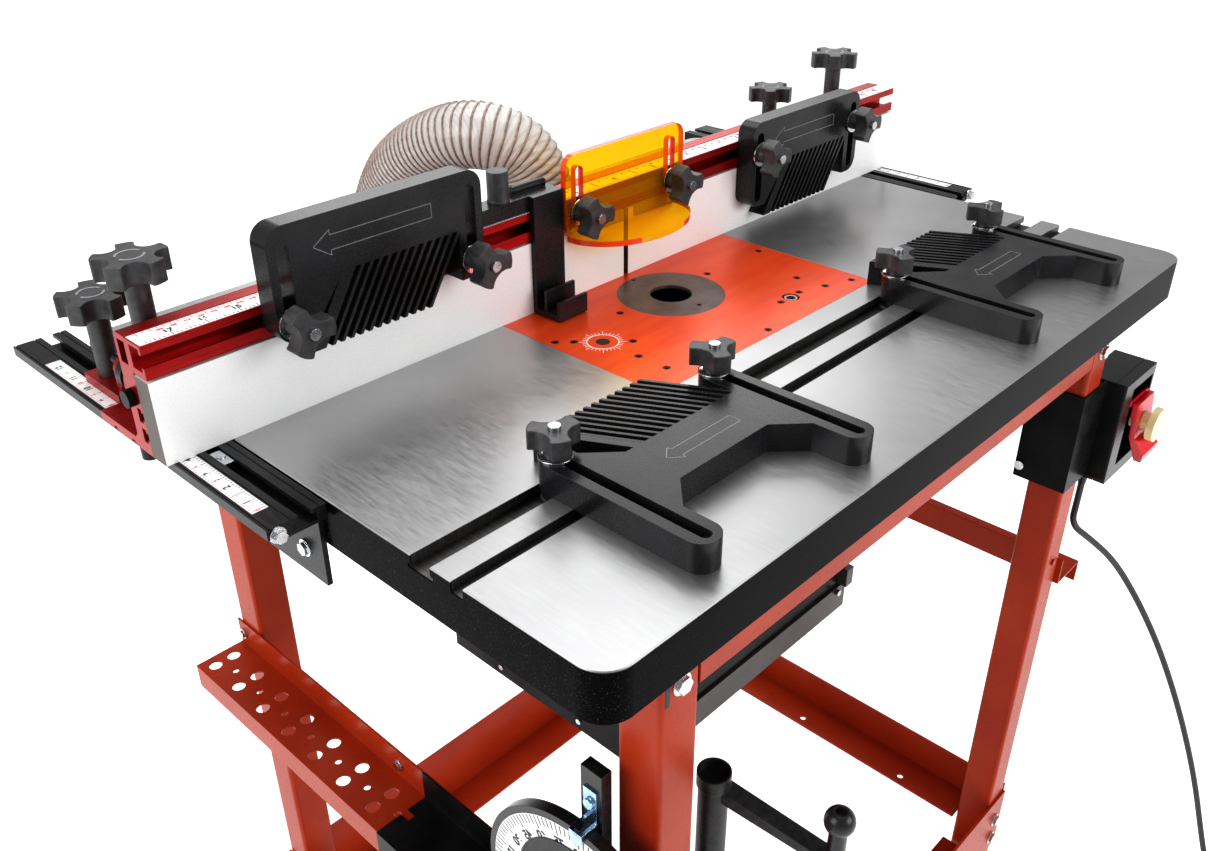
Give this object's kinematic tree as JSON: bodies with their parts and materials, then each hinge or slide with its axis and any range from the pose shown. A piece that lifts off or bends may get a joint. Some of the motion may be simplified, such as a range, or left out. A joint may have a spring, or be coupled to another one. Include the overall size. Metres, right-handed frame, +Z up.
{
  "type": "router table",
  "caption": "Floor standing router table with split fence, featherboards, bit guard, dust box, lift and switch",
  "frame": {"origin": "on the floor under the middle of the outline", "axes": "+Z up, +X right along the fence seen from the operator, +Y away from the operator"},
  "size_m": [1.164, 1.0338, 1.04],
  "materials": {
    "cast_top": "ground face, black painted rim",
    "red_plate": "orange red anodised",
    "ring_grey": "grey brown anodised",
    "black_screw": "blackened",
    "red_paint": "gloss orange red",
    "zinc": "zinc plated",
    "black_anodised": "black anodised",
    "black_sheet": "black powder coat",
    "grey_sheet": "dark satin",
    "plain_steel": "ground",
    "cast_aluminium": "as cast",
    "black_plastic": "semi gloss",
    "red_plastic": "moulded red",
    "cream_plastic": "moulded cream",
    "black_steel": "blacked steel",
    "black_cast": "textured black",
    "crimson_anodised": "crimson anodised",
    "white_laminate": "white laminate on fibreboard",
    "amber_acrylic": "clear amber acrylic",
    "knob_grey": "textured",
    "clear_hose": "clear ribbed vinyl",
    "lead_black": "mains lead"
  },
  "bodies": {
    "stand": {"table_top": "cast_top", "leg_feet": "black_plastic", "router_plate": "red_plate", "insert_ring": "ring_grey", "plate_screws": "black_screw", "legs": "red_paint", "apron_frame": "red_paint", "stretchers": "red_paint", "bit_racks": "red_paint", "frame_bolts": "zinc", "fence_rails": "black_anodised", "dust_box": "black_sheet", "dust_box_front": "grey_sheet", "lift_posts": "plain_steel", "switch_bracket": "black_sheet", "switch_box": "black_plastic", "mitre_tray": "black_sheet", "crank_holder": "black_sheet", "mains_lead": "lead_black", "lead_coil": "lead_black", "lead_plug": "lead_black"},
    "fence": {"fence_beam": "crimson_anodised", "fence_shroud": "black_sheet", "hose_clamp": "zinc", "hose": "clear_hose"},
    "lift_carriage": {"lift_carriage": "cast_aluminium"},
    "lift_screw": {"lift_screw": "plain_steel"},
    "switch_paddle": {"switch_paddle": "red_plastic"},
    "switch_button": {"switch_button": "cream_plastic"},
    "mitre_bar": {"mitre_bar": "black_steel"},
    "mitre_head": {"mitre_head": "black_plastic"},
    "crank_arm": {"crank_arm": "black_cast"},
    "crank_grip": {"crank_grip": "black_plastic"},
    "face_left": {"face_left": "white_laminate"},
    "face_right": {"face_right": "white_laminate"},
    "bit_guard": {"bit_guard": "amber_acrylic"},
    "stop_arm": {"stop_arm": "black_plastic"},
    "stop_knob": {"stop_knob": "knob_grey"},
    "lock_knob_left": {"lock_knob_left": "knob_grey"},
    "rail_knob_left": {"rail_knob_left": "knob_grey"},
    "micro_block_left": {"micro_block_left": "crimson_anodised"},
    "micro_wheel_left": {"micro_wheel_left": "black_plastic"},
    "guard_knob_left": {"guard_knob_left": "knob_grey"},
    "upright_board_left": {"upright_board_left": "black_plastic"},
    "flat_board_left": {"flat_board_left": "black_plastic"},
    "upright_knob_left_a": {"upright_knob_left_a": "knob_grey"},
    "flat_knob_left_a": {"flat_knob_left_a": "knob_grey"},
    "upright_knob_left_b": {"upright_knob_left_b": "knob_grey"},
    "flat_knob_left_b": {"flat_knob_left_b": "knob_grey"},
    "lock_knob_right": {"lock_knob_right": "knob_grey"},
    "rail_knob_right": {"rail_knob_right": "knob_grey"},
    "micro_block_right": {"micro_block_right": "crimson_anodised"},
    "micro_wheel_right": {"micro_wheel_right": "black_plastic"},
    "guard_knob_right": {"guard_knob_right": "knob_grey"},
    "upright_board_right": {"upright_board_right": "black_plastic"},
    "flat_board_right": {"flat_board_right": "black_plastic"},
    "upright_knob_right_a": {"upright_knob_right_a": "knob_grey"},
    "flat_knob_right_a": {"flat_knob_right_a": "knob_grey"},
    "upright_knob_right_b": {"upright_knob_right_b": "knob_grey"},
    "flat_knob_right_b": {"flat_knob_right_b": "knob_grey"}
  },
  "joints": [
    {"name": "fence_travel", "type": "slide", "parent": "stand", "child": "fence", "axis": [0, 1, 0], "range_m": [-0.08, 0.1], "deforming": ["hose"]},
    {"name": "face_left_slide", "type": "slide", "parent": "fence", "child": "face_left", "axis": [1, 0, 0], "range_m": [-0.04, 0]},
    {"name": "face_right_slide", "type": "slide", "parent": "fence", "child": "face_right", "axis": [1, 0, 0], "range_m": [0, 0.04]},
    {"name": "guard_height", "type": "slide", "parent": "fence", "child": "bit_guard", "axis": [0, 0, 1], "range_m": [-0.034, 0.002]},
    {"name": "upright_left_height", "type": "slide", "parent": "fence", "child": "upright_board_left", "axis": [0, 0, 1], "range_m": [-0.048, 0.006]},
    {"name": "upright_right_height", "type": "slide", "parent": "fence", "child": "upright_board_right", "axis": [0, 0, 1], "range_m": [-0.012, 0.045]},
    {"name": "flat_left_slide", "type": "slide", "parent": "stand", "child": "flat_board_left", "axis": [1, 0, 0], "range_m": [-0.09, 0.04]},
    {"name": "flat_right_slide", "type": "slide", "parent": "stand", "child": "flat_board_right", "axis": [1, 0, 0], "range_m": [-0.04, 0.09]},
    {"name": "stop_slide", "type": "slide", "parent": "fence", "child": "stop_arm", "axis": [1, 0, 0], "range_m": [-0.06, 0]},
    {"name": "stop_knob_turn", "type": "hinge", "parent": "stop_arm", "child": "stop_knob", "pos_m": [-0.138, 0.0486, 1], "axis": [0, 0, 1], "continuous": true},
    {"name": "lock_left_turn", "type": "hinge", "parent": "fence", "child": "lock_knob_left", "pos_m": [-0.424, 0.1006, 0.99], "axis": [0, 0, 1], "continuous": true},
    {"name": "micro_left_shift", "type": "slide", "parent": "fence", "child": "micro_block_left", "axis": [0, 1, 0], "range_m": [-0.003, 0.003]},
    {"name": "micro_wheel_left_turn", "type": "hinge", "parent": "fence", "child": "micro_wheel_left", "pos_m": [-0.424, 0.1366, 0.916], "axis": [0, 1, 0], "range_deg": [-870, 870]},
    {"name": "rail_knob_left_turn", "type": "hinge", "parent": "micro_block_left", "child": "rail_knob_left", "pos_m": [-0.424, 0.1866, 0.95], "axis": [0, 0, 1], "continuous": true},
    {"name": "guard_knob_left_turn", "type": "hinge", "parent": "fence", "child": "guard_knob_left", "pos_m": [-0.06, 0.0186, 0.9696], "axis": [0, 1, 0], "continuous": true},
    {"name": "upright_knob_left_a_turn", "type": "hinge", "parent": "fence", "child": "upright_knob_left_a", "pos_m": [-0.356, 0.0036, 0.9696], "axis": [0, 1, 0], "continuous": true},
    {"name": "flat_knob_left_a_turn", "type": "hinge", "parent": "flat_board_left", "child": "flat_knob_left_a", "pos_m": [-0.291, -0.1719, 0.92], "axis": [0, 0, 1], "continuous": true},
    {"name": "upright_knob_left_b_turn", "type": "hinge", "parent": "fence", "child": "upright_knob_left_b", "pos_m": [-0.192, 0.0036, 0.9696], "axis": [0, 1, 0], "continuous": true},
    {"name": "flat_knob_left_b_turn", "type": "hinge", "parent": "flat_board_left", "child": "flat_knob_left_b", "pos_m": [-0.127, -0.1719, 0.92], "axis": [0, 0, 1], "continuous": true},
    {"name": "lock_right_turn", "type": "hinge", "parent": "fence", "child": "lock_knob_right", "pos_m": [0.424, 0.1006, 0.99], "axis": [0, 0, 1], "continuous": true},
    {"name": "micro_right_shift", "type": "slide", "parent": "fence", "child": "micro_block_right", "axis": [0, 1, 0], "range_m": [-0.003, 0.003]},
    {"name": "micro_wheel_right_turn", "type": "hinge", "parent": "fence", "child": "micro_wheel_right", "pos_m": [0.424, 0.1366, 0.916], "axis": [0, 1, 0], "range_deg": [-870, 870]},
    {"name": "rail_knob_right_turn", "type": "hinge", "parent": "micro_block_right", "child": "rail_knob_right", "pos_m": [0.424, 0.1866, 0.95], "axis": [0, 0, 1], "continuous": true},
    {"name": "guard_knob_right_turn", "type": "hinge", "parent": "fence", "child": "guard_knob_right", "pos_m": [0.06, 0.0186, 0.9696], "axis": [0, 1, 0], "continuous": true},
    {"name": "upright_knob_right_a_turn", "type": "hinge", "parent": "fence", "child": "upright_knob_right_a", "pos_m": [0.18, 0.0036, 0.9696], "axis": [0, 1, 0], "continuous": true},
    {"name": "flat_knob_right_a_turn", "type": "hinge", "parent": "flat_board_right", "child": "flat_knob_right_a", "pos_m": [0.128, -0.1719, 0.92], "axis": [0, 0, 1], "continuous": true},
    {"name": "upright_knob_right_b_turn", "type": "hinge", "parent": "fence", "child": "upright_knob_right_b", "pos_m": [0.344, 0.0036, 0.9696], "axis": [0, 1, 0], "continuous": true},
    {"name": "flat_knob_right_b_turn", "type": "hinge", "parent": "flat_board_right", "child": "flat_knob_right_b", "pos_m": [0.292, -0.1719, 0.92], "axis": [0, 0, 1], "continuous": true},
    {"name": "paddle_swing", "type": "hinge", "parent": "stand", "child": "switch_paddle", "pos_m": [0.391, -0.3214, 0.7375], "axis": [1, 0, 0], "range_deg": [-65, 0]},
    {"name": "button_press", "type": "slide", "parent": "switch_paddle", "child": "switch_button", "axis": [0, 1, 0], "range_m": [0, 0.002], "stiffness_N_per_m": 400},
    {"name": "mitre_lift", "type": "slide", "parent": "stand", "child": "mitre_bar", "axis": [0, 0, 1], "range_m": [0, 0.11]},
    {"name": "mitre_angle", "type": "hinge", "parent": "mitre_bar", "child": "mitre_head", "pos_m": [-0.361, -0.2619, 0.595], "axis": [1, 0, 0], "range_deg": [-35, 35]},
    {"name": "crank_lift", "type": "slide", "parent": "stand", "child": "crank_arm", "axis": [0, 0, 1], "range_m": [0, 0.1]},
    {"name": "grip_turn", "type": "hinge", "parent": "crank_arm", "child": "crank_grip", "pos_m": [-0.235, -0.3804, 0.67], "axis": [0, 0, 1], "continuous": true},
    {"name": "lift_screw_turn", "type": "hinge", "parent": "stand", "child": "lift_screw", "pos_m": [0.067, -0.1054, 0.79], "axis": [0, 0, 1], "range_deg": [-5410, 5410]},
    {"name": "lift_travel", "type": "slide", "parent": "stand", "child": "lift_carriage", "axis": [0, 0, 1], "range_m": [-0.06, 0.06]}
  ],
  "couplings": [
    {"joint": "lift_screw_turn", "follows": "lift_travel", "rad_per_m": 1570.8},
    {"joint": "micro_wheel_left_turn", "follows": "micro_left_shift", "rad_per_m": 5026.5},
    {"joint": "micro_wheel_right_turn", "follows": "micro_right_shift", "rad_per_m": 5026.5}
  ]
}
